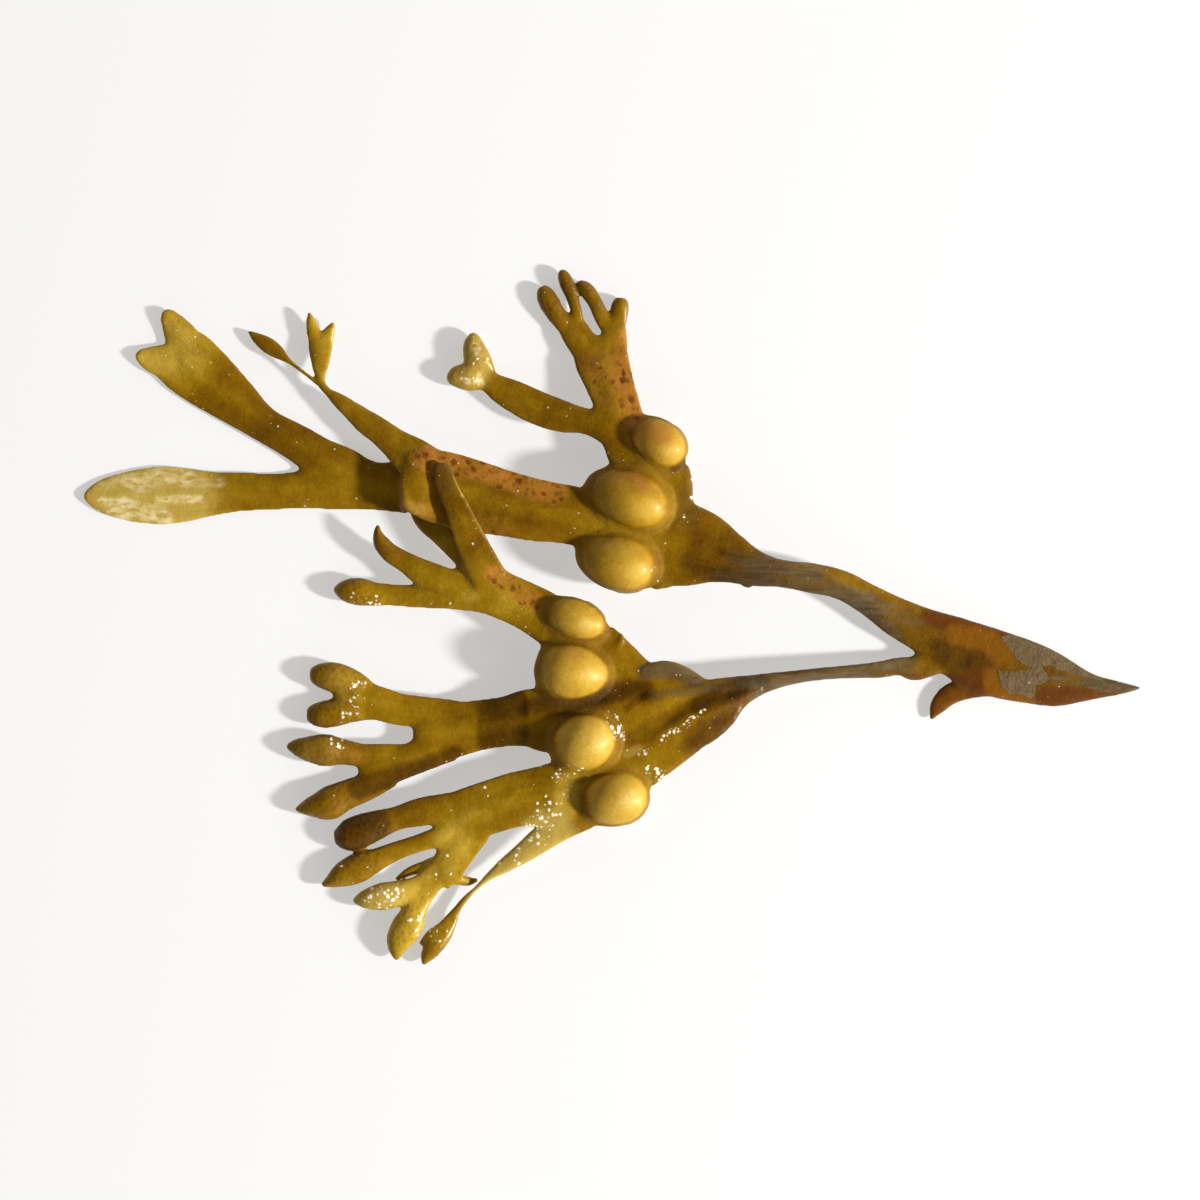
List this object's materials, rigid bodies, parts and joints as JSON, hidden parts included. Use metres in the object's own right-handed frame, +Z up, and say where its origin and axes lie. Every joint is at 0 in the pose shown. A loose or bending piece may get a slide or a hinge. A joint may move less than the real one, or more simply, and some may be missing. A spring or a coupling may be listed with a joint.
{
  "type": "bladderwrack sprig",
  "caption": "Cut sprig of brown seaweed lying flat: a torn stipe forks into leathery ribbed blades with round gas bladders and swollen forked tips.",
  "frame": {"origin": "middle of the sprig's outline, on the surface it lies on", "axes": "+X along the sprig from the blade tips to the torn foot of the stipe, +Y across it towards the upper blades, +Z up from the surface"},
  "size_m": [0.169, 0.111, 0.0091],
  "materials": {
    "stipe_skin": "wet red-brown skin with a grey crust",
    "bladder_frond": "wet olive skin, yellow on the bladders",
    "olive_frond": "wet olive-brown skin",
    "pale_frond": "wet pale skin"
  },
  "bodies": {
    "root": {"stipe": "stipe_skin", "upper_stem": "bladder_frond", "long_blade": "olive_frond", "left_blade": "olive_frond", "upper_left_blade": "olive_frond", "narrow_blade": "olive_frond", "hand_twig": "olive_frond", "heart_twig": "olive_frond", "lower_stem": "bladder_frond", "top_branch": "olive_frond", "middle_branch": "olive_frond", "bottom_branch": "olive_frond", "thin_blade": "pale_frond"}
  },
  "joints": []
}
